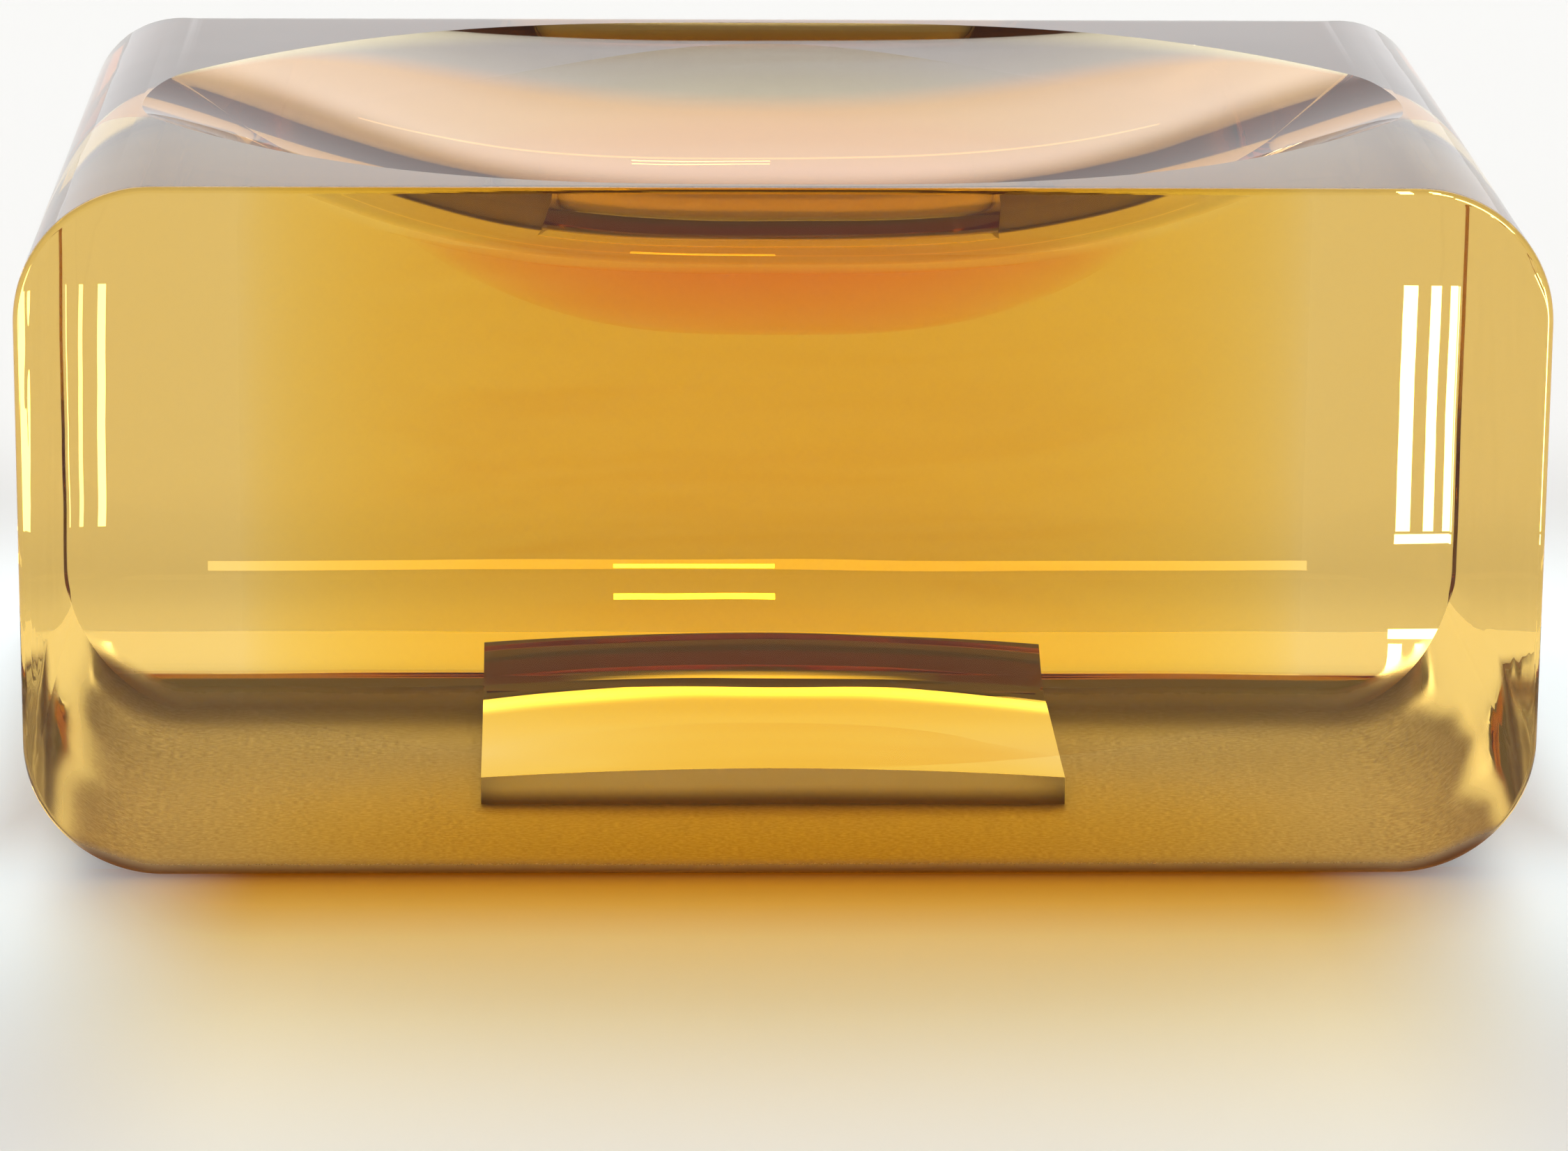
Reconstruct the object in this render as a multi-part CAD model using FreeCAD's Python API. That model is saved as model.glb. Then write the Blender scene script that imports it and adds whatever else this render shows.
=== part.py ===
import FreeCAD, Part
import os

# Art glass bowl: a thick rectangular block of straw-amber glass, its top cut flat and
# hollowed into a wide shallow oval, with a deeper amber body fused inside it.
# Millimetres.  Origin: centre of the base.  +X runs along the long side, -Y is the
# flat-cut face, +Z is up.

# ---- driving dimensions: the block ----
WIDTH = 170.0            # long side, along X
DEPTH = 116.0            # flat-cut face to back face, along Y
HEIGHT = 79.0            # base to the cut top
SIDE_ROUND = 15.5        # the four long edges that run front to back
BACK_ROUND = 15.0        # the upper and lower edges of the back face
END_EASE = 0.8           # fine rounding that takes the sharpness off both cut ends

# ---- driving dimensions: the pointed oval hollow in the top ----
HOLLOW_DEPTH = 15.5      # below the cut top, at the middle
MOUTH_LENGTH = 158.0     # tip to tip, along X, measured at the cut top
FRONT_RIM = 2.0          # glass left between the mouth and the flat-cut face
BACK_RIM = 16.0          # glass left between the mouth and the back face
MOUTH_FULLNESS = 3.0     # 2 gives a slim pointed oval, more keeps it broad for longer

# ---- driving dimensions: the recess ground in the base, open at the back ----
RECESS_WIDTH = 68.0      # along X
RECESS_START = 43.0      # behind the flat-cut face
RECESS_SIDE = 3.2        # height of its two side walls
RECESS_CROWN = 4.2       # height along its middle
FLARE_START = 102.0      # behind the flat-cut face; the ceiling rises from here back
FLARE_RISE = 0.28        # rise of the flared ceiling, per length

# ---- driving dimensions: the coloured glass inside ----
CORE_LENGTH = 124.0      # tip to tip, along X
CORE_BREADTH = 80.0      # along Y, at the middle
CORE_FLOOR = 9.0         # clear casing left under the amber body
LINING_LENGTH = 96.0     # deep amber layer under the hollow, tip to tip, along X
LINING_BREADTH = 64.0    # along Y, at the middle
LINING_THICK = 7.0       # at the middle, from which it tapers
LINING_SPAN = 110.0      # mouth length of the shorter hollow that shapes its underside
SKIN = 1.0               # pale casing between the hollow and the deep amber


def box(x_size, y_size, z_low, z_high):
    """A box centred on X and Y, between two heights."""
    corner = FreeCAD.Vector(-x_size / 2, -y_size / 2, z_low)
    return Part.makeBox(x_size, y_size, z_high - z_low, corner)


def runs_along_y(edge):
    """True for a straight edge parallel to the Y axis."""
    span = edge.BoundBox
    return span.YLength > DEPTH - 0.1 and span.XLength < 0.01 and span.ZLength < 0.01


def back_profile():
    """A bar across X with its upper and lower back edges rounded."""
    past = 10.0
    corner = FreeCAD.Vector(-WIDTH / 2 - past, -DEPTH / 2 - past, 0.0)
    bar = Part.makeBox(WIDTH + 2 * past, DEPTH + past, HEIGHT, corner)
    rear_edges = []
    for edge in bar.Edges:
        span = edge.BoundBox
        if span.YMin > DEPTH / 2 - 0.01 and span.XLength > WIDTH:
            rear_edges.append(edge)
    return bar.makeFillet(BACK_ROUND, rear_edges)


def make_block():
    """The outer block: rounded long edges, eased ends, then the rounded back profile."""
    block = box(WIDTH, DEPTH, 0.0, HEIGHT)
    block = block.makeFillet(SIDE_ROUND, [e for e in block.Edges if runs_along_y(e)])
    end_edges = []
    for edge in block.Edges:
        span = edge.BoundBox
        if span.YMin > DEPTH / 2 - 0.01 or span.YMax < -DEPTH / 2 + 0.01:
            end_edges.append(edge)
    return block.makeFillet(END_EASE, end_edges).common(back_profile())


def bowl_cutter(extra_depth, mouth_length=MOUTH_LENGTH):
    """A long spindle lying along X above the top: a smooth profile turned about an axis.

    Its circular sections meet the cut top in a full pointed oval, whose breadth falls off
    as a power of the distance from the middle.  Extra depth gives the same surface a
    little larger, farther down in the glass, and a shorter mouth makes it rise sooner.
    """
    half_length = mouth_length / 2
    half_breadth = (DEPTH - FRONT_RIM - BACK_RIM) / 2
    mouth_y = (FRONT_RIM - BACK_RIM) / 2
    axis_rise = (half_breadth ** 2 - HOLLOW_DEPTH ** 2) / (2 * HOLLOW_DEPTH)
    axis_z = HEIGHT + axis_rise

    def profile_radius(share):
        breadth = half_breadth * (1.0 - abs(share) ** MOUTH_FULLNESS)
        return (axis_rise ** 2 + breadth * abs(breadth)) ** 0.5

    # shares of the half length, from past one tip to past the other
    shares = [-1.2, -1.1, -1.0, -0.85, -0.7, -0.5, -0.25, 0.0,
              0.25, 0.5, 0.7, 0.85, 1.0, 1.1, 1.2]
    points = []
    for share in shares:
        drop = profile_radius(share) + extra_depth
        points.append(FreeCAD.Vector(share * half_length, mouth_y, axis_z - drop))
    curve = Part.BSplineCurve()
    curve.interpolate(points)
    axis_left = FreeCAD.Vector(points[0].x, mouth_y, axis_z)
    axis_right = FreeCAD.Vector(points[-1].x, mouth_y, axis_z)
    outline = Part.Wire([
        curve.toShape(),
        Part.makeLine(points[-1], axis_right),
        Part.makeLine(axis_right, axis_left),
        Part.makeLine(axis_left, points[0]),
    ])
    return Part.Face(outline).revolve(axis_left, FreeCAD.Vector(1, 0, 0), 360)


def arched_outline(y, side_height, crown_height, z_low):
    """A flat-sided arch across X, standing at one place along Y."""
    half = RECESS_WIDTH / 2
    side_left = FreeCAD.Vector(-half, y, side_height)
    crown = FreeCAD.Vector(0.0, y, crown_height)
    side_right = FreeCAD.Vector(half, y, side_height)
    low_right = FreeCAD.Vector(half, y, z_low)
    low_left = FreeCAD.Vector(-half, y, z_low)
    return Part.Wire([
        Part.Arc(side_left, crown, side_right).toShape(),
        Part.makeLine(side_right, low_right),
        Part.makeLine(low_right, low_left),
        Part.makeLine(low_left, side_left),
    ])


def make_recess():
    """The arched recess in the base: a level stretch, then a flare out through the back."""
    below = -5.0
    start_y = RECESS_START - DEPTH / 2
    flare_y = FLARE_START - DEPTH / 2
    end_y = DEPTH / 2 + 5.0
    rise = FLARE_RISE * (end_y - flare_y)
    level_outline = arched_outline(start_y, RECESS_SIDE, RECESS_CROWN, below)
    level = Part.Face(level_outline).extrude(FreeCAD.Vector(0, flare_y - start_y, 0))
    flare = Part.makeLoft([
        arched_outline(flare_y, RECESS_SIDE, RECESS_CROWN, below),
        arched_outline(end_y, RECESS_SIDE + rise, RECESS_CROWN + rise, below),
    ], True, True)
    return level.fuse(flare)


def lens_prism(length, breadth, z_low, z_high):
    """An upright prism whose plan is a pointed lens: two equal arcs, tip to tip."""
    tip_left = FreeCAD.Vector(-length / 2, 0, z_low)
    tip_right = FreeCAD.Vector(length / 2, 0, z_low)
    front = FreeCAD.Vector(0, -breadth / 2, z_low)
    back = FreeCAD.Vector(0, breadth / 2, z_low)
    outline = Part.Wire([
        Part.Arc(tip_left, front, tip_right).toShape(),
        Part.Arc(tip_right, back, tip_left).toShape(),
    ])
    return Part.Face(outline).extrude(FreeCAD.Vector(0, 0, z_high - z_low))


def save(name, shape):
    """Write one piece, one closed solid."""
    if shape.ShapeType != "Solid":
        shape = shape.Solids[0]
    shape.exportStep("parts/" + name + ".step")


os.makedirs("parts", exist_ok=True)

# deep amber lining: a tapered lens of colour hung just under the skin of the hollow
amber_column = lens_prism(CORE_LENGTH, CORE_BREADTH, CORE_FLOOR, HEIGHT)
lining_column = lens_prism(LINING_LENGTH, LINING_BREADTH, CORE_FLOOR, HEIGHT)
under_skin = bowl_cutter(SKIN)
under_lining = bowl_cutter(SKIN + LINING_THICK, LINING_SPAN)
deep_lining = lining_column.common(under_lining).cut(under_skin)

# amber body: an upright lens with a dished top, the lining set into it
inner_glass = amber_column.cut(under_skin)
amber_body = inner_glass.cut(deep_lining)

# pale casing: the block, less the hollow, the base recess and everything fused inside
pale_casing = make_block().cut(bowl_cutter(0.0)).cut(make_recess()).cut(inner_glass)

save("pale_casing", pale_casing)
save("amber_body", amber_body)
save("deep_amber_lining", deep_lining)
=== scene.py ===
"""Looks for the art glass bowl: a thick block of layered amber glass with a pointed oval
hollow in its top, standing on a pale studio table."""

import math

import bmesh
import bpy
from mathutils import Matrix, Vector


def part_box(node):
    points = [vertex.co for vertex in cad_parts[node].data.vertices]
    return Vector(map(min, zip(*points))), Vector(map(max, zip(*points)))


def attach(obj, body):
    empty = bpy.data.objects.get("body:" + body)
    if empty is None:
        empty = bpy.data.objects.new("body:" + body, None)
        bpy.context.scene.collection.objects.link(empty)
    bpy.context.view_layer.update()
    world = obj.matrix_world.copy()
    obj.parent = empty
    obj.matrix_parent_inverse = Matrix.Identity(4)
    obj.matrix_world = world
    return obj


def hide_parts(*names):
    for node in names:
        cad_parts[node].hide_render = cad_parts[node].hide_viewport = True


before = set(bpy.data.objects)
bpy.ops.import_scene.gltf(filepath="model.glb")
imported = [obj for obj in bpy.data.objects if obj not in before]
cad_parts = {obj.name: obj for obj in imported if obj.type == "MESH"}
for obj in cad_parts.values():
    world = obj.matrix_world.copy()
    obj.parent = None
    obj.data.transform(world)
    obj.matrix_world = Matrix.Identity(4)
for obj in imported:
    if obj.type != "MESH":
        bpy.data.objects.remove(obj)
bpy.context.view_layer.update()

MM = 0.001

# ---------------------------------------------------------------- sizes, in metres
casing_low, casing_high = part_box("pale_casing")
body_low, body_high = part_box("amber_body")
lining_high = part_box("deep_amber_lining")[1]

WIDTH = casing_high.x - casing_low.x
DEPTH = casing_high.y - casing_low.y
HEIGHT = casing_high.z - casing_low.z
FRONT_Y = casing_low.y
BACK_Y = casing_high.y

SIDE_ROUND = 15.5 * MM
BACK_ROUND = 15.0 * MM
END_EASE = 0.8 * MM

HOLLOW_DEPTH = 15.5 * MM
MOUTH_HALF_LENGTH = 79.0 * MM
FRONT_RIM = 2.0 * MM
BACK_RIM = 16.0 * MM
MOUTH_FULLNESS = 3.0
MOUTH_HALF_BREADTH = (DEPTH - FRONT_RIM - BACK_RIM) / 2
MOUTH_Y = FRONT_Y + FRONT_RIM + MOUTH_HALF_BREADTH

RECESS_HALF_WIDTH = 34.0 * MM
RECESS_START_Y = FRONT_Y + 43.0 * MM
RECESS_SIDE = 3.2 * MM
RECESS_CROWN = 4.2 * MM
FLARE_START_Y = FRONT_Y + 102.0 * MM
FLARE_RISE = 0.28

BODY_FLOOR = body_low.z
SKIN = 1.0 * MM
LINING_THICK = 7.0 * MM
LINING_HALF_SPAN = 55.0 * MM
LINING_HALF_LENGTH = 48.0 * MM
LAYER_GAP = 0.02 * MM    # keeps fused layers from sharing one surface

# ---------------------------------------------------------------- glass and its finish
CRESCENT_HALF_LENGTH = 62.0 * MM
CRESCENT_START = 0.72          # share of the way from the middle to the far lip
# painted reflection: the peach of the hollow and the smoke grey of the crescent up its far wall
HOLLOW_REFLECTION_PEACH = "#E3A276"
CRESCENT_REFLECTION_GREY = "#A4A6D2"
POLISH_WAVE = 0.18 * MM
GROUND_SIDE_RISE = 7.0 * MM    # how far the grinding climbs the rounded sides
GROUND_EDGE_RISE = 9.0 * MM    # how far its wandering edge climbs them
# painted shade: how clear the ground base stays once darkened for the dark table under it
GROUND_SHADE_CLEARNESS = 0.45        # share of light that the ground base still lets through
STRAW_ABSORPTION = ((0.905, 0.735, 0.15, 1.0), 20.0)
AMBER_ABSORPTION = ((0.98, 0.863, 0.060, 1.0), 33.0)
ORANGE_ABSORPTION = ((0.97, 0.50, 0.05, 1.0), 26.0)

# ---------------------------------------------------------------- light from the card
POOL_REACH = 130.0 * MM  # how far the amber light runs forward from the block
POOL_LIGHT = 0.9         # amber light thrown forward on the card
WASH_LIGHT = 0.12        # white light on the card behind the block
SIDE_FILL_LIGHT = 0.36   # white light on the card beside the block


# ---------------------------------------------------------------- small helpers
def linear(hex_colour):
    """An sRGB hex colour as linear red, green, blue and alpha."""
    channels = [int(hex_colour[i:i + 2], 16) / 255 for i in (1, 3, 5)]
    return tuple(c / 12.92 if c <= 0.04045 else ((c + 0.055) / 1.055) ** 2.4
                 for c in channels) + (1.0,)


def add_node(tree, kind, settings=None, links=None):
    """One node: settings are attributes or input values, links are socket sources."""
    node = tree.nodes.new(kind)
    for key, value in (settings or {}).items():
        if isinstance(key, int) or key in node.inputs:
            node.inputs[key].default_value = value
        else:
            setattr(node, key, value)
    for key, source in (links or {}).items():
        tree.links.new(source, node.inputs[key])
    return node


def maths_in(tree):
    """A short way to add maths nodes to one tree: sum_of = maths("ADD", a, b)."""
    def maths(operation, a, b=0.0):
        node = add_node(tree, "ShaderNodeMath", {"operation": operation})
        for index, value in enumerate((a, b)):
            if isinstance(value, (int, float)):
                node.inputs[index].default_value = value
            else:
                tree.links.new(value, node.inputs[index])
        return node.outputs[0]
    return maths


def ramp_between(tree, value, start, end, low=0.0, high=1.0):
    """Low below start, high above end, and a smooth rise between them."""
    node = add_node(tree, "ShaderNodeMapRange", {
        "interpolation_type": "SMOOTHSTEP", "From Min": start, "From Max": end,
        "To Min": low, "To Max": high}, {"Value": value})
    return node.outputs[0]


def new_material(name):
    """An empty node material and its tree."""
    material = bpy.data.materials.new(name)
    material.use_nodes = True
    material.node_tree.nodes.clear()
    return material, material.node_tree


def mesh_object(name, mesh):
    """Put a mesh in the scene as an object at the origin."""
    item = bpy.data.objects.new(name, mesh)
    bpy.context.scene.collection.objects.link(item)
    return item


def finish_mesh(form, name):
    """Close up a bmesh, point its faces outwards and hand back a mesh."""
    bmesh.ops.remove_doubles(form, verts=form.verts, dist=1e-7)
    bmesh.ops.recalc_face_normals(form, faces=form.faces)
    mesh = bpy.data.meshes.new(name)
    form.to_mesh(mesh)
    form.free()
    return mesh


def carve(item, operation, *cutters):
    """Take cutters from an item, or keep only what lies inside them, then drop them."""
    for cutter in cutters:
        cut = item.modifiers.new("cut", "BOOLEAN")
        cut.operation = operation
        cut.solver = "EXACT"
        cut.object = cutter
    graph = bpy.context.evaluated_depsgraph_get()
    mesh = bpy.data.meshes.new_from_object(item.evaluated_get(graph))
    item.modifiers.clear()
    item.data = mesh
    for cutter in cutters:
        bpy.data.objects.remove(cutter)
    return item


def smooth_with_arrises(item, angle=6.0):
    """Smooth shading everywhere but across a real arris."""
    for face in item.data.polygons:
        face.use_smooth = True
    item.data.set_sharp_from_angle(angle=math.radians(angle))


# ---------------------------------------------------------------- materials
def polished_casing_glass():
    """Straw-amber soda-lime casing, cut and hand polished, its base ground matt.

    The polish leaves the faces very slightly wavy, so edges seen through them waver.
    The ground base scatters light like frosted glass, with an uneven edge where the grinding stops;
    it is also painted browner and less clear as shade from the dark table under the block, so it
    reads as a dull brown floor inside the block. The hollow is painted peach, smoke grey in a
    crescent up its far wall, as painted reflection of the room.
    """
    material, tree = new_material("straw amber casing glass, hand polished, base ground")
    place = add_node(tree, "ShaderNodeTexCoord")
    spot = add_node(tree, "ShaderNodeSeparateXYZ", None, {0: place.outputs["Object"]})

    # slow waves left by polishing by hand, about 35 mm apart
    stretch = add_node(tree, "ShaderNodeMapping", {"Scale": (0.6, 1.0, 1.5)},
                       {"Vector": place.outputs["Object"]})
    waves = add_node(tree, "ShaderNodeTexNoise",
                     {"Scale": 28.0, "Detail": 2.0, "Roughness": 0.45},
                     {"Vector": stretch.outputs[0]})
    waver = add_node(tree, "ShaderNodeBump", {"Strength": 1.0, "Distance": POLISH_WAVE},
                     {"Height": waves.outputs["Fac"]})

    # the ground base: all that lies on the table, fading out at a wandering edge, with the
    # front wall of the recess only matt and the two rounded sides only dulled
    maths = maths_in(tree)
    across = maths("ABSOLUTE", spot.outputs["X"])
    wander = add_node(tree, "ShaderNodeTexNoise",
                      {"Scale": 22.0, "Detail": 2.0, "Roughness": 0.4},
                      {"Vector": place.outputs["Object"]})
    rise = ramp_between(tree, across, WIDTH / 2 - SIDE_ROUND, WIDTH / 2, 0.4 * MM,
                         GROUND_EDGE_RISE)
    left_over = maths("SUBTRACT", maths("MULTIPLY", wander.outputs["Fac"], rise), spot.outputs["Z"])
    base = ramp_between(tree, left_over, -2.2 * MM, 0.1 * MM)
    wall = maths("MULTIPLY", maths("LESS_THAN", spot.outputs["Z"], RECESS_CROWN + 0.1 * MM),
                 maths("LESS_THAN", spot.outputs["Y"], RECESS_START_Y + 0.1 * MM))
    wall = maths("MULTIPLY", wall,
                 maths("GREATER_THAN", spot.outputs["Y"], RECESS_START_Y - 0.1 * MM))
    wall = maths("MULTIPLY", wall, maths("LESS_THAN", across, RECESS_HALF_WIDTH))
    ground = maths("MAXIMUM", base, wall)
    climb = ramp_between(tree, across, WIDTH / 2 - SIDE_ROUND, WIDTH / 2, 0.0, GROUND_SIDE_RISE)
    lift = maths("MULTIPLY", climb, maths("ADD", wander.outputs["Fac"], 0.5))
    below = maths("SUBTRACT", lift, spot.outputs["Z"])
    dulled = ramp_between(tree, below, -2.0 * MM, 3.0 * MM, 0.0, 0.5)
    grit = add_node(tree, "ShaderNodeTexNoise",
                    {"Scale": 1500.0, "Detail": 3.0, "Roughness": 0.7},
                    {"Vector": place.outputs["Object"]})
    matt = ramp_between(tree, grit.outputs["Fac"], 0.3, 0.7, 0.50, 0.68)
    roughness = maths("MAXIMUM", maths("MULTIPLY", ground, matt), dulled)
    # painted shade: the base is made browner and less clear, standing in for the dark table under
    # the block seen through it
    base_painted_shade_clearness = ramp_between(tree, base, 0.0, 1.0, 1.0, GROUND_SHADE_CLEARNESS)
    tint = add_node(tree, "ShaderNodeMix", {"data_type": "RGBA"}, {0: base})
    tint.inputs[7].default_value = linear("#7A4410")

    # painted reflection: the hollow is tinted peach, and smoke grey in a crescent up its far wall,
    # for the room light its surface reflects
    share = maths("DIVIDE", across, MOUTH_HALF_LENGTH)
    breadth = maths("MULTIPLY", MOUTH_HALF_BREADTH,
                    maths("SUBTRACT", 1.0, maths("POWER", share, MOUTH_FULLNESS)))
    from_middle = maths("SUBTRACT", spot.outputs["Y"], MOUTH_Y)
    station = maths("DIVIDE", from_middle, maths("MAXIMUM", breadth, 1.0 * MM))
    inside = ramp_between(tree, maths("ABSOLUTE", station), 0.93, 1.01, 1.0, 0.0)
    inside = maths("MULTIPLY", inside,
                   maths("GREATER_THAN", spot.outputs["Z"], HEIGHT - HOLLOW_DEPTH - 1.0 * MM))
    sweep = maths("DIVIDE", spot.outputs["X"], CRESCENT_HALF_LENGTH)
    sweep = maths("MULTIPLY", maths("MULTIPLY", sweep, sweep), 1.0 - CRESCENT_START)
    past = maths("SUBTRACT", station, maths("ADD", sweep, CRESCENT_START))
    crescent = ramp_between(tree, past, -0.04, 0.06)
    painted_reflection = add_node(tree, "ShaderNodeMix", {"data_type": "RGBA"}, {0: crescent})
    painted_reflection.inputs[6].default_value = linear(HOLLOW_REFLECTION_PEACH)
    painted_reflection.inputs[7].default_value = linear(CRESCENT_REFLECTION_GREY)
    hollow_reflection_tint = add_node(tree, "ShaderNodeMix", {"data_type": "RGBA"}, {0: inside, 7: painted_reflection.outputs[2]})
    hollow_reflection_tint.inputs[6].default_value = linear("#FFFFFF")
    tree.links.new(hollow_reflection_tint.outputs[2], tint.inputs[6])

    glass = add_node(tree, "ShaderNodeBsdfPrincipled", {"IOR": 1.5},
                     {"Roughness": roughness, "Normal": waver.outputs[0],
                      "Base Color": tint.outputs[2], "Transmission Weight": base_painted_shade_clearness})
    depth = add_node(tree, "ShaderNodeVolumeAbsorption",
                     {"Color": STRAW_ABSORPTION[0], "Density": STRAW_ABSORPTION[1]})
    add_node(tree, "ShaderNodeOutputMaterial", None,
             {"Surface": glass.outputs[0], "Volume": depth.outputs[0]})
    return material


def fused_colour_glass(name, streak, absorb, density):
    """Coloured glass fused inside the casing: no mirror at the join, only deeper colour.

    Faint drawn-out streaks in its skin are the cords that hot gathering leaves.
    """
    material, tree = new_material(name)
    place = add_node(tree, "ShaderNodeTexCoord")
    drawn = add_node(tree, "ShaderNodeMapping", {"Scale": (0.12, 0.5, 1.8)},
                     {"Vector": place.outputs["Object"]})
    cords = add_node(tree, "ShaderNodeTexNoise",
                     {"Scale": 55.0, "Detail": 3.0, "Roughness": 0.5, "Distortion": 0.6},
                     {"Vector": drawn.outputs[0]})
    spot = add_node(tree, "ShaderNodeSeparateXYZ", None, {0: place.outputs["Object"]})
    maths = maths_in(tree)
    fading = ramp_between(tree, maths("ABSOLUTE", spot.outputs["X"]), 25 * MM, 55 * MM, 1.0, 0.0)
    strength = maths("MULTIPLY", ramp_between(tree, cords.outputs["Fac"], 0.45, 0.75), fading)
    tint = add_node(tree, "ShaderNodeMix", {"data_type": "RGBA"}, {0: strength})
    tint.inputs[6].default_value = linear("#FFFFFF")
    tint.inputs[7].default_value = linear(streak)
    glass = add_node(tree, "ShaderNodeBsdfPrincipled",
                     {"IOR": 1.0, "Transmission Weight": 1.0, "Roughness": 0.0},
                     {"Base Color": tint.outputs[2]})
    depth = add_node(tree, "ShaderNodeVolumeAbsorption",
                     {"Color": absorb, "Density": density})
    add_node(tree, "ShaderNodeOutputMaterial", None,
             {"Surface": glass.outputs[0], "Volume": depth.outputs[0]})
    return material


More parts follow.
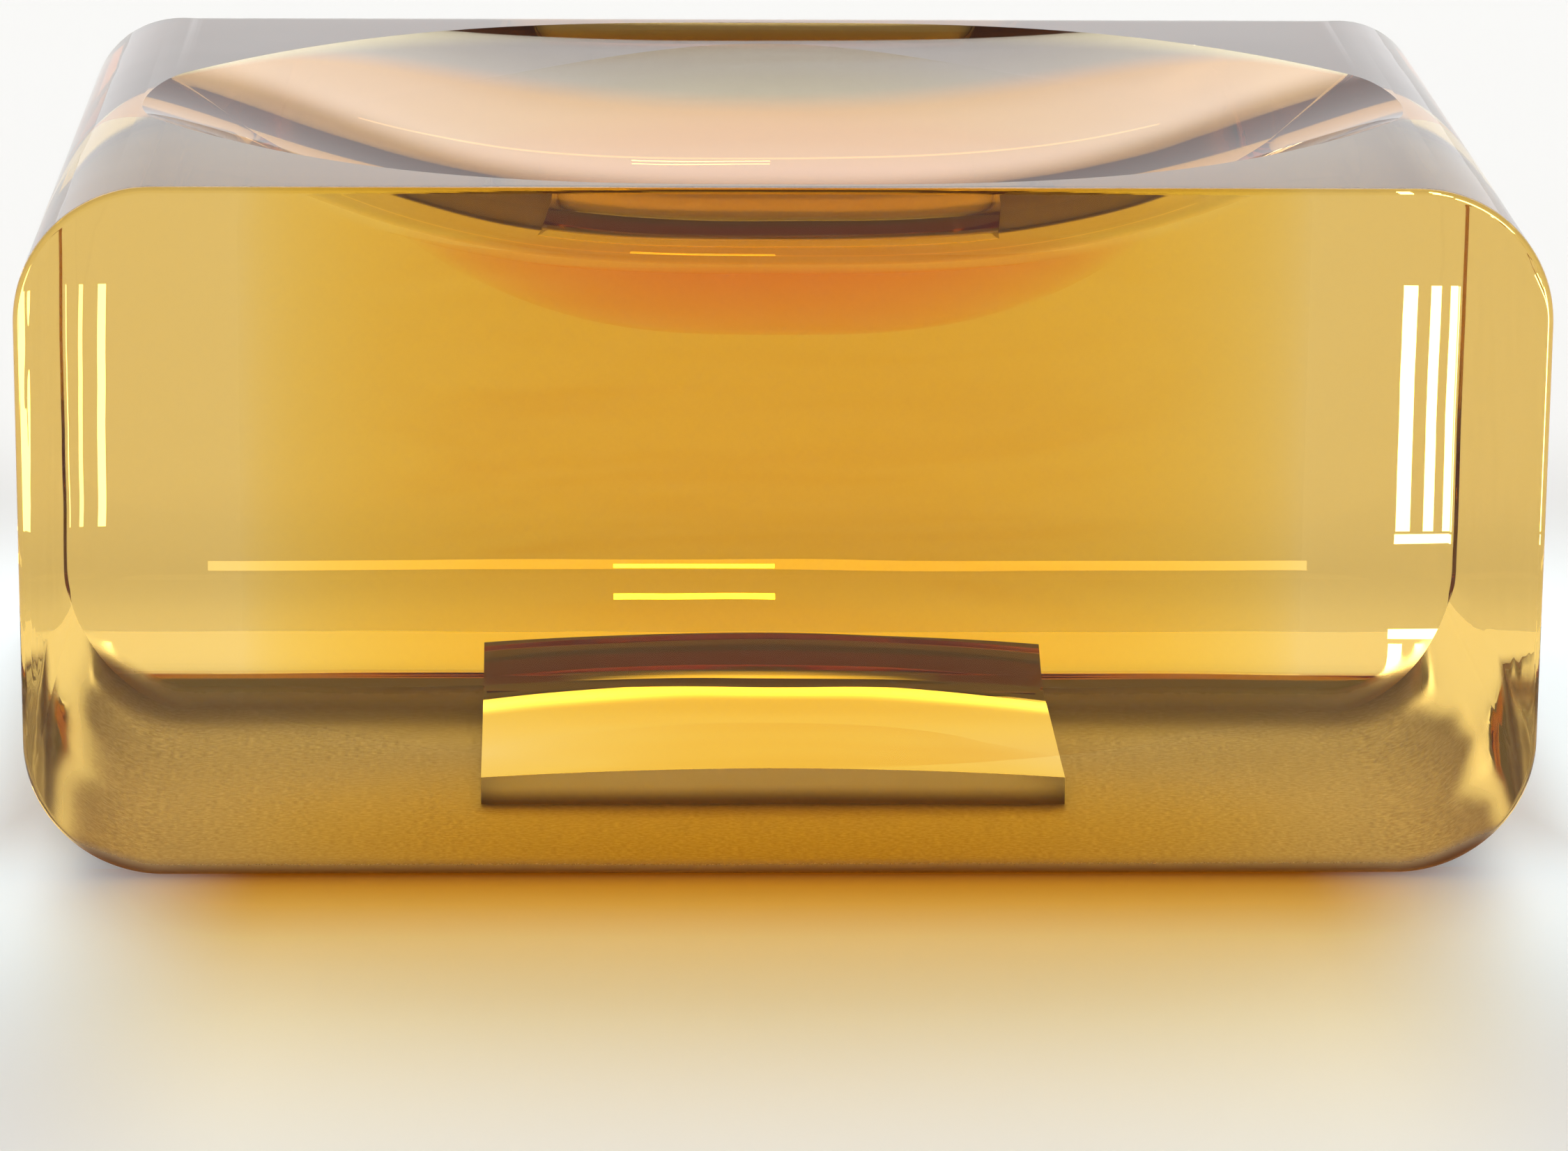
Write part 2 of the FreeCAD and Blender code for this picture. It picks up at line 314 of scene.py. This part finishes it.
def pale_table_card():
    """White sweep card: matt, faintly mottled, with a soft sheen at a low angle.

    The card itself gives off soft painted light round the block: an amber pool in front of it, and
    white light beside it and behind it. It is painted dark under the block as a shadow, and
    painted amber at the front contact, where the pool is strongest.
    """
    material, tree = new_material("pale studio card")
    place = add_node(tree, "ShaderNodeTexCoord")
    mottle = add_node(tree, "ShaderNodeTexNoise", {"Scale": 9.0, "Detail": 4.0},
                      {"Vector": place.outputs["Object"]})
    tone = add_node(tree, "ShaderNodeValToRGB", None, {0: mottle.outputs["Fac"]})
    tone.color_ramp.elements[0].color = linear("#F4F3EF")
    tone.color_ramp.elements[1].color = linear("#F8F7F4")
    fibre = add_node(tree, "ShaderNodeTexNoise", {"Scale": 900.0, "Detail": 2.0},
                     {"Vector": place.outputs["Object"]})
    tooth = add_node(tree, "ShaderNodeBump", {"Strength": 0.2, "Distance": 0.00003},
                     {"Height": fibre.outputs["Fac"]})
    spot = add_node(tree, "ShaderNodeSeparateXYZ", None, {0: place.outputs["Object"]})

    # painted shadow: the card is painted dark under the block, except in the recess
    maths = maths_in(tree)
    across = maths("ABSOLUTE", spot.outputs["X"])
    along = maths("ABSOLUTE", spot.outputs["Y"])
    soft = 3 * MM
    under = maths("MULTIPLY",
                  ramp_between(tree, across, WIDTH / 2 - SIDE_ROUND - soft,
                               WIDTH / 2 - SIDE_ROUND + soft, 1.0, 0.0),
                  ramp_between(tree, along, DEPTH / 2 - 3 * soft, DEPTH / 2 - soft, 1.0, 0.0))
    in_recess = maths("MULTIPLY",
                      ramp_between(tree, across, RECESS_HALF_WIDTH - soft,
                                   RECESS_HALF_WIDTH + soft, 1.0, 0.0),
                      ramp_between(tree, spot.outputs["Y"], RECESS_START_Y - soft,
                                   RECESS_START_Y + soft))
    under_block_painted_shadow = maths("MULTIPLY", under, maths("SUBTRACT", 1.0, in_recess))
    shade = add_node(tree, "ShaderNodeMix", {"data_type": "RGBA"},
                     {0: under_block_painted_shadow, 6: tone.outputs[0]})
    shade.inputs[7].default_value = linear("#2A2622")
    # painted light: an amber pool glows on the card in front of the block, and a wash glows behind
    # it
    ahead = add_node(tree, "ShaderNodeMapRange",
                     {"From Min": FRONT_Y - POOL_REACH, "From Max": FRONT_Y},
                     {"Value": spot.outputs["Y"]})
    pool = add_node(tree, "ShaderNodeValToRGB", None, {0: ahead.outputs[0]})
    stops = pool.color_ramp
    stops.elements[0].color = (0.0, 0.0, 0.0, 1.0)
    stops.elements[1].color = linear("#6A3A00")
    for where, colour in ((0.30, "#7A7660"), (0.62, "#A8965A"), (0.83, "#B4964C"),
                          (0.92, "#A87E1C"), (0.97, "#946400")):
        stops.elements.new(where).color = linear(colour)
    spread = ramp_between(tree, across, WIDTH / 2 - 30 * MM, WIDTH / 2 + 4 * MM, POOL_LIGHT, 0.0)
    in_front = maths("LESS_THAN", spot.outputs["Y"], FRONT_Y + 3 * MM)
    contact = maths("MULTIPLY", ramp_between(tree, ahead.outputs[0], 0.72, 1.0),
                    maths("MULTIPLY", spread, in_front))
    # painted light: the card's own colour is made amber at the front contact, where the amber pool
    # is strongest
    amber_contact_painted_light = add_node(tree, "ShaderNodeMix", {"data_type": "RGBA"},
                       {0: contact, 6: shade.outputs[2]})
    amber_contact_painted_light.inputs[7].default_value = linear("#B88010")
    card = add_node(tree, "ShaderNodeBsdfPrincipled", {"Roughness": 0.45},
                    {"Base Color": amber_contact_painted_light.outputs[2], "Normal": tooth.outputs[0]})
    glow = add_node(tree, "ShaderNodeEmission", None,
                    {"Color": pool.outputs[0], "Strength": maths("MULTIPLY", spread, in_front)})
    behind = ramp_between(tree, spot.outputs["Y"], BACK_Y + 35 * MM, BACK_Y + 110 * MM,
                          0.0, WASH_LIGHT)
    wash = add_node(tree, "ShaderNodeEmission", None, {"Strength": behind})
    # painted light: the card glows pale blue-white beside the block, which keeps it pale there
    near_front = maths("MULTIPLY",
                       ramp_between(tree, spot.outputs["Y"], FRONT_Y - 6 * MM,
                                    FRONT_Y + 30 * MM, 1.0, 0.0),
                       ramp_between(tree, across, WIDTH / 2 - 27 * MM, WIDTH / 2))
    beside = maths("MAXIMUM", near_front,
                   ramp_between(tree, across, WIDTH / 2, WIDTH / 2 + 12 * MM))
    beside = maths("MULTIPLY", beside, ramp_between(tree, spot.outputs["Y"], FRONT_Y - 85 * MM,
                                                    FRONT_Y - 10 * MM, 0.0, SIDE_FILL_LIGHT))
    beside = maths("MULTIPLY", beside, ramp_between(tree, spot.outputs["Y"], BACK_Y - 20 * MM,
                                                    BACK_Y + 60 * MM, 1.0, 0.0))
    beside = maths("MULTIPLY", beside, ramp_between(tree, across, WIDTH / 2 + 10 * MM,
                                                    WIDTH / 2 + 70 * MM, 1.0, 0.0))
    fill = add_node(tree, "ShaderNodeEmission", {"Color": (0.72, 0.92, 1.0, 1.0)},
                    {"Strength": beside})
    rear = add_node(tree, "ShaderNodeAddShader", None, {0: fill.outputs[0], 1: wash.outputs[0]})
    lamps = add_node(tree, "ShaderNodeAddShader", None, {0: glow.outputs[0], 1: rear.outputs[0]})
    lit_card = add_node(tree, "ShaderNodeAddShader", None, {0: card.outputs[0], 1: lamps.outputs[0]})
    add_node(tree, "ShaderNodeOutputMaterial", None, {"Surface": lit_card.outputs[0]})
    return material


# ---------------------------------------------------------------- the outer block
def rounded_outline(corner_steps=40):
    """The block's upright section: points round a rounded rectangle, in X and Z."""
    points = []
    half = WIDTH / 2
    corners = [(half - SIDE_ROUND, SIDE_ROUND, -90), (half - SIDE_ROUND, HEIGHT - SIDE_ROUND, 0),
               (SIDE_ROUND - half, HEIGHT - SIDE_ROUND, 90), (SIDE_ROUND - half, SIDE_ROUND, 180)]
    for centre_x, centre_z, start in corners:
        for step in range(corner_steps + 1):
            turn = math.radians(start + 90 * step / corner_steps)
            points.append((centre_x, centre_z, math.cos(turn), math.sin(turn)))
    return points


def block_mesh():
    """The casing's outer skin, both ends only eased, before anything is ground away."""
    outline = rounded_outline()
    steps = 12
    slices = []
    for step in range(steps + 1):
        turn = math.pi / 2 * step / steps
        slices.append((END_EASE * (1 - math.sin(turn)),
                       FRONT_Y + END_EASE * (1 - math.cos(turn))))
    slices += [(inset, FRONT_Y + BACK_Y - y) for inset, y in reversed(slices)]
    form = bmesh.new()
    rings = []
    for inset, y in slices:
        radius = SIDE_ROUND - inset
        rings.append([form.verts.new((cx + radius * ux, y, cz + radius * uz))
                      for cx, cz, ux, uz in outline])
    count = len(outline)
    for near, far in zip(rings, rings[1:]):
        for i in range(count):
            j = (i + 1) % count
            form.faces.new((near[i], near[j], far[j], far[i]))
    form.faces.new(rings[0])
    form.faces.new(list(reversed(rings[-1])))
    return finish_mesh(form, "block")


def back_profile(steps=64):
    """A long bar across X: what the rounded upper and lower back edges leave standing."""
    reach = 5.0 * MM
    points = [(FRONT_Y - reach, 0.0), (FRONT_Y - reach, HEIGHT)]
    for centre_z, start in ((HEIGHT - BACK_ROUND, 90), (BACK_ROUND, 0)):
        for step in range(steps + 1):
            turn = math.radians(start - 90 * step / steps)
            points.append((BACK_Y - BACK_ROUND + BACK_ROUND * math.cos(turn),
                           centre_z + BACK_ROUND * math.sin(turn)))
    form = bmesh.new()
    ends = [[form.verts.new((side * (WIDTH / 2 + reach), y, z)) for y, z in points]
            for side in (-1, 1)]
    form.faces.new(ends[0])
    form.faces.new(list(reversed(ends[1])))
    for i in range(len(points)):
        j = (i + 1) % len(points)
        form.faces.new((ends[0][i], ends[0][j], ends[1][j], ends[1][i]))
    return mesh_object("back_profile", finish_mesh(form, "back_profile"))


# ---------------------------------------------------------------- the hollow, by its rule
def spindle_tree():
    """Geometry nodes for the spindle that grinds the hollow: circles along a rule.

    A cylinder is reshaped so that its circles meet the cut top in a pointed oval.
    """
    tree = bpy.data.node_groups.new("grinding spindle", "GeometryNodeTree")
    for name, value in (("Half Length", MOUTH_HALF_LENGTH), ("Half Breadth", MOUTH_HALF_BREADTH),
                        ("Depth", HOLLOW_DEPTH), ("Extra", 0.0), ("Centre Y", MOUTH_Y),
                        ("Top", HEIGHT), ("Fullness", MOUTH_FULLNESS)):
        socket = tree.interface.new_socket(name, in_out="INPUT", socket_type="NodeSocketFloat")
        socket.default_value = value
    tree.interface.new_socket("Geometry", in_out="OUTPUT", socket_type="NodeSocketGeometry")
    given = add_node(tree, "NodeGroupInput").outputs

    maths = maths_in(tree)
    rod = add_node(tree, "GeometryNodeMeshCylinder",
                   {"Vertices": 480, "Side Segments": 240, "Radius": 1.0, "Depth": 2.4})
    place = add_node(tree, "GeometryNodeInputPosition")
    spot = add_node(tree, "ShaderNodeSeparateXYZ", None, {0: place.outputs[0]})
    share = spot.outputs["Z"]
    narrowing = maths("POWER", maths("ABSOLUTE", share), given["Fullness"])
    breadth = maths("MULTIPLY", given["Half Breadth"], maths("SUBTRACT", 1.0, narrowing))
    signed = maths("MULTIPLY", breadth, maths("ABSOLUTE", breadth))
    half_squared = maths("MULTIPLY", given["Half Breadth"], given["Half Breadth"])
    depth_squared = maths("MULTIPLY", given["Depth"], given["Depth"])
    rise = maths("DIVIDE", maths("SUBTRACT", half_squared, depth_squared),
                 maths("MULTIPLY", given["Depth"], 2.0))
    radius = maths("SQRT", maths("ADD", maths("MULTIPLY", rise, rise), signed))
    radius = maths("ADD", radius, given["Extra"])
    x = maths("MULTIPLY", share, given["Half Length"])
    y = maths("ADD", maths("MULTIPLY", spot.outputs["X"], radius), given["Centre Y"])
    z = maths("ADD", maths("MULTIPLY", spot.outputs["Y"], radius),
              maths("ADD", given["Top"], rise))
    there = add_node(tree, "ShaderNodeCombineXYZ", None, {0: x, 1: y, 2: z})
    moved = add_node(tree, "GeometryNodeSetPosition", None,
                     {"Geometry": rod.outputs[0], "Position": there.outputs[0]})
    real = add_node(tree, "GeometryNodeRealizeInstances", None, {0: moved.outputs[0]})
    coated = add_node(tree, "GeometryNodeSetMaterial", None, {"Geometry": real.outputs[0]})
    add_node(tree, "NodeGroupOutput", None, {0: coated.outputs[0]})
    return tree


def spindle(extra, half_length=MOUTH_HALF_LENGTH):
    """A spindle as a plain mesh object, a little larger by extra."""
    holder = mesh_object("spindle", bpy.data.meshes.new("spindle"))
    maker = holder.modifiers.new("grind", "NODES")
    maker.node_group = SPINDLE_TREE
    sockets = {s.name: s.identifier for s in SPINDLE_TREE.interface.items_tree
               if s.in_out == "INPUT"}
    maker[sockets["Extra"]] = extra
    maker[sockets["Half Length"]] = half_length
    graph = bpy.context.evaluated_depsgraph_get()
    mesh = bpy.data.meshes.new_from_object(holder.evaluated_get(graph))
    holder.modifiers.clear()
    form = bmesh.new()
    form.from_mesh(mesh)
    holder.data = finish_mesh(form, "spindle")
    return holder


# ---------------------------------------------------------------- the base recess
def recess_cutter():
    """The arched recess: level at first, then flaring out through the back."""
    across, along = 64, 60
    end_y = BACK_Y + 5.0 * MM
    below = -5.0 * MM
    arch_radius = (RECESS_HALF_WIDTH ** 2 + (RECESS_CROWN - RECESS_SIDE) ** 2) / (
        2 * (RECESS_CROWN - RECESS_SIDE))
    form = bmesh.new()
    ceiling, floor = [], []
    for j in range(along + 1):
        y = RECESS_START_Y + (end_y - RECESS_START_Y) * j / along
        lift = FLARE_RISE * max(0.0, y - FLARE_START_Y)
        ceiling.append([])
        floor.append([])
        for i in range(across + 1):
            x = RECESS_HALF_WIDTH * (2 * i / across - 1)
            arch = RECESS_CROWN - arch_radius + math.sqrt(arch_radius ** 2 - x ** 2)
            ceiling[j].append(form.verts.new((x, y, arch + lift)))
            floor[j].append(form.verts.new((x, y, below)))
    for j in range(along):
        for i in range(across):
            form.faces.new((ceiling[j][i], ceiling[j][i + 1],
                            ceiling[j + 1][i + 1], ceiling[j + 1][i]))
            form.faces.new((floor[j][i], floor[j + 1][i], floor[j + 1][i + 1], floor[j][i + 1]))
        for i in (0, across):
            form.faces.new((ceiling[j][i], ceiling[j + 1][i], floor[j + 1][i], floor[j][i]))
    for j in (0, along):
        for i in range(across):
            form.faces.new((ceiling[j][i], ceiling[j][i + 1], floor[j][i + 1], floor[j][i]))
    return mesh_object("recess", finish_mesh(form, "recess"))


# ---------------------------------------------------------------- the glass inside
def lens_column(name, half_length, half_breadth, floor_z):
    """An upright column, a pointed lens in plan."""
    steps = 96
    top_z = HEIGHT + 5 * MM
    length = half_length - LAYER_GAP
    breadth = half_breadth - LAYER_GAP
    arc = (length ** 2 + breadth ** 2) / (2 * breadth)
    plan = []
    for side in (-1, 1):
        for step in range(steps):
            x = side * length * (2 * step / steps - 1)
            plan.append((-x, side * (math.sqrt(arc ** 2 - x ** 2) - arc + breadth)))
    form = bmesh.new()
    low = [form.verts.new((x, y, floor_z)) for x, y in plan]
    high = [form.verts.new((x, y, top_z)) for x, y in plan]
    form.faces.new(low)
    form.faces.new(list(reversed(high)))
    for i in range(len(plan)):
        j = (i + 1) % len(plan)
        form.faces.new((low[i], low[j], high[j], high[i]))
    return mesh_object(name, finish_mesh(form, name))


def dress(item, material, node):
    """Give a finished piece its glass and tie it to the frame."""
    item.data.materials.clear()
    item.data.materials.append(material)
    smooth_with_arrises(item)
    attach(item, "root")
    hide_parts(node)
    return item


SPINDLE_TREE = spindle_tree()

casing = carve(mesh_object("casing_glass", block_mesh()), "INTERSECT", back_profile())
casing = carve(casing, "DIFFERENCE", spindle(0.0), recess_cutter())
dress(casing, polished_casing_glass(), "pale_casing")

amber = lens_column("amber_heart", body_high.x, body_high.y, BODY_FLOOR + LAYER_GAP)
amber = carve(amber, "DIFFERENCE", spindle(SKIN + LAYER_GAP))
dress(amber, fused_colour_glass("golden amber body glass", "#F8EBC8", *AMBER_ABSORPTION),
      "amber_body")

lining = lens_column("orange_lining", LINING_HALF_LENGTH, lining_high.y, BODY_FLOOR)
lining = carve(lining, "INTERSECT", spindle(SKIN + LINING_THICK, LINING_HALF_SPAN))
lining = carve(lining, "DIFFERENCE", spindle(SKIN + 2 * LAYER_GAP))
dress(lining, fused_colour_glass("deep orange lining glass", "#FDF3E0", *ORANGE_ABSORPTION),
      "deep_amber_lining")

# ---------------------------------------------------------------- table, light, camera
TABLE_SIZE = 6.0
table_form = bmesh.new()
bmesh.ops.create_grid(table_form, x_segments=1, y_segments=1, size=TABLE_SIZE / 2)
bmesh.ops.translate(table_form, verts=table_form.verts, vec=(0, 0, -0.0001))
table_mesh = bpy.data.meshes.new("table")
table_form.to_mesh(table_mesh)
table_form.free()
table = mesh_object("studio_table", table_mesh)
table.data.materials.append(pale_table_card())

BACKDROP_LIGHT = 1.25      # the pale wall behind, up to about 16 degrees
SOFTBOX_LIGHT = 4.1        # the broad softbox above it, up to about 60 degrees
ROOM_LIGHT = 0.18          # overhead and behind the camera
WINDOW_LIGHT = 7.0         # the bright bars of two windows

world = bpy.data.worlds.new("studio")
bpy.context.scene.world = world
world.use_nodes = True
sky = world.node_tree
backdrop = sky.nodes["Background"]
backdrop.inputs["Color"].default_value = (1.0, 1.0, 1.0, 1.0)
way = add_node(sky, "ShaderNodeTexCoord")
split = add_node(sky, "ShaderNodeSeparateXYZ", None, {0: way.outputs["Generated"]})
lift = add_node(sky, "ShaderNodeMapRange",
                {"From Min": 0.52, "From Max": 0.66, "To Min": BACKDROP_LIGHT,
                 "To Max": SOFTBOX_LIGHT, "interpolation_type": "SMOOTHSTEP"},
                {"Value": split.outputs["Z"]})
fade = add_node(sky, "ShaderNodeMapRange",
                {"From Min": 0.25, "From Max": 0.60, "To Min": ROOM_LIGHT,
                 "interpolation_type": "SMOOTHSTEP"},
                {"Value": split.outputs["Y"], "To Max": lift.outputs[0]})
sky.links.new(fade.outputs[0], backdrop.inputs["Strength"])


def bar_of_light(x, low_z, high_z, width, behind, strength):
    """A flat strip of light standing behind the block and facing the front of the set."""
    data = bpy.data.lights.new("bar_of_light", "AREA")
    data.shape = "RECTANGLE"
    data.size = width
    data.size_y = high_z - low_z
    data.energy = strength * math.pi * data.size * data.size_y
    lamp = bpy.data.objects.new("bar_of_light", data)
    bpy.context.scene.collection.objects.link(lamp)
    lamp.location = (x, BACK_Y + behind, (low_z + high_z) / 2)
    lamp.rotation_euler = (math.radians(-90), 0, 0)
    lamp.visible_diffuse = False    # seen in the glass, but not spilt on the card


# two slim windows: the glass shows them as bright upright bars near its two sides
WINDOW_BEHIND = 42 * MM
WINDOW_BARS = (    # place along X and width, in millimetres, and share of the full light
    (-87.6, 0.7, 0.35), (-85.2, 0.5, 0.35), (-82.6, 1.0, 0.45),
    (83.2, 1.8, 1.0), (86.4, 1.3, 1.0), (89.2, 2.0, 1.0),
)
for place_x, bar_width, share in WINDOW_BARS:
    bar_of_light(place_x * MM, 9.0 * MM, 40.0 * MM, bar_width * MM, WINDOW_BEHIND,
                 WINDOW_LIGHT * share)
bar_of_light(86.2 * MM, 7.2 * MM, 8.6 * MM, 8.0 * MM, WINDOW_BEHIND, WINDOW_LIGHT)
# the long light line low in the glass, with two short glints over it
LONG_LINE_LIGHT = 0.55
GLINT_LIGHT = 7.0
bar_of_light(0.0, 12.2 * MM, 13.4 * MM, 136 * MM, 10 * MM, LONG_LINE_LIGHT)
for low_z in (10.0, 12.6):
    bar_of_light(-8 * MM, low_z * MM, (low_z + 0.5) * MM, 20 * MM, 9 * MM,
                 GLINT_LIGHT)

# the camera stands a little left of the middle and looks slightly down at the front face
CAMERA_X = -0.022
CAMERA_AHEAD = 0.690
CAMERA_ABOVE = 0.145
AIM_HEIGHT = 0.035
LENS_LENGTH = 147.6    # in millimetres
LEVEL_ERROR = math.radians(0.47)
camera_data = bpy.data.cameras.new("camera")
camera = bpy.data.objects.new("camera", camera_data)
bpy.context.scene.collection.objects.link(camera)
bpy.context.scene.camera = camera
camera.location = (CAMERA_X, FRONT_Y - CAMERA_AHEAD, HEIGHT + CAMERA_ABOVE)
aim = Vector((0.0, FRONT_Y, AIM_HEIGHT)) - camera.location
camera.rotation_mode = "QUATERNION"
camera.rotation_quaternion = (aim.to_track_quat("-Z", "Y")
                              @ Matrix.Rotation(LEVEL_ERROR, 4, "Z").to_quaternion())
camera_data.sensor_width = 36.0
camera_data.lens = LENS_LENGTH
camera_data.clip_start = 0.01

scene = bpy.context.scene
scene.view_settings.view_transform = "Standard"
scene.cycles.max_bounces = 24
scene.cycles.transmission_bounces = 24
scene.cycles.glossy_bounces = 12
